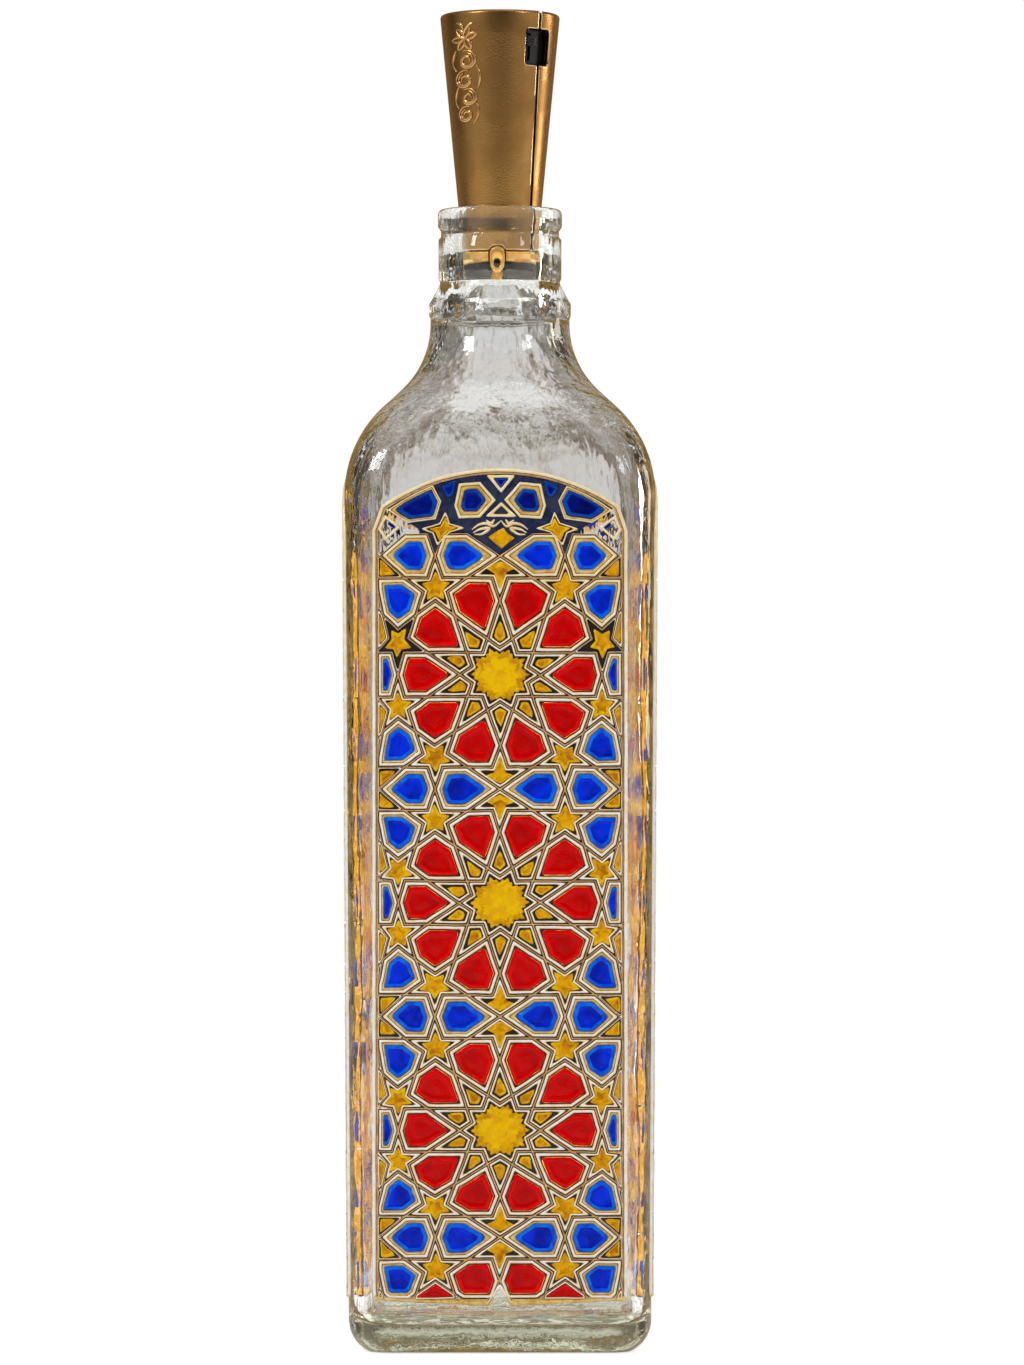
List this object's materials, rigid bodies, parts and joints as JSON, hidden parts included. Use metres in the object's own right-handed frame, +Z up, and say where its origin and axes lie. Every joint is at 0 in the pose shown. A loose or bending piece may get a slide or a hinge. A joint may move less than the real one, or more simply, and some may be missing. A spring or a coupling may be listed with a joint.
{
  "type": "decorative bottle",
  "caption": "Tall square glass bottle with raised gilt star lattices over coloured enamel on its sides, and a tapered gold bottle-light stopper with a battery cover and slide switch.",
  "frame": {"origin": "on the bottle's axis, in the plane it stands on", "axes": "+Z up the bottle; the front panel looks along -Y; the stopper's battery cover faces +X"},
  "size_m": [0.0804, 0.0804, 0.3361],
  "materials": {
    "clear_glass": "clear soda-lime glass, faint green at the heel and lip",
    "gilt_relief": "raised contour paste, satin bronze between bright gold lines",
    "enamel_red": "glossy translucent glass paint, deep red",
    "enamel_blue": "glossy translucent glass paint, cobalt blue",
    "enamel_yellow": "glossy translucent glass paint, amber yellow",
    "copper_gold": "satin copper-gold metallized shell",
    "bright_gold": "polished gold plate",
    "dark_band": "dark brown-black moulding",
    "black_plastic": "glossy black moulding",
    "lamp_resin": "dark glossy lamp window, unlit",
    "steel": "nickel-plated steel",
    "tray_plastic": "natural white moulding",
    "board": "green circuit board"
  },
  "bodies": {
    "bottle": {"glass_bottle": "clear_glass", "lattice_front": "gilt_relief", "lattice_right": "gilt_relief", "lattice_back": "gilt_relief", "lattice_left": "gilt_relief", "enamel_front": "enamel_red", "enamel_right": "enamel_red", "enamel_back": "enamel_red", "enamel_left": "enamel_red"},
    "stopper": {"housing_shell": "copper_gold", "plug_ring": "bright_gold", "plug_base": "dark_band", "lamp_bezel": "bright_gold", "lamp_led": "lamp_resin", "wire_gland": "bright_gold", "base_screw": "steel", "battery_tray": "tray_plastic", "cell_lower": "steel", "cell_middle": "steel", "cell_upper": "steel", "contact_spring": "steel", "contact_plate": "steel", "circuit_board": "board", "driver_chip": "black_plastic", "switch_body": "black_plastic"},
    "cover": {"battery_cover": "copper_gold"},
    "knob": {"switch_knob": "black_plastic"}
  },
  "joints": [
    {"name": "stopper_lift", "type": "slide", "parent": "bottle", "child": "stopper", "axis": [0, 0, 1], "range_m": [0, 0.04]},
    {"name": "battery_cover_slide", "type": "slide", "parent": "stopper", "child": "cover", "axis": [0.0954, 0, 0.9954], "range_m": [0, 0.062]},
    {"name": "switch_knob_slide", "type": "slide", "parent": "stopper", "child": "knob", "axis": [-0.0651, 0.0698, -0.9954], "range_m": [0, 0.003]}
  ]
}
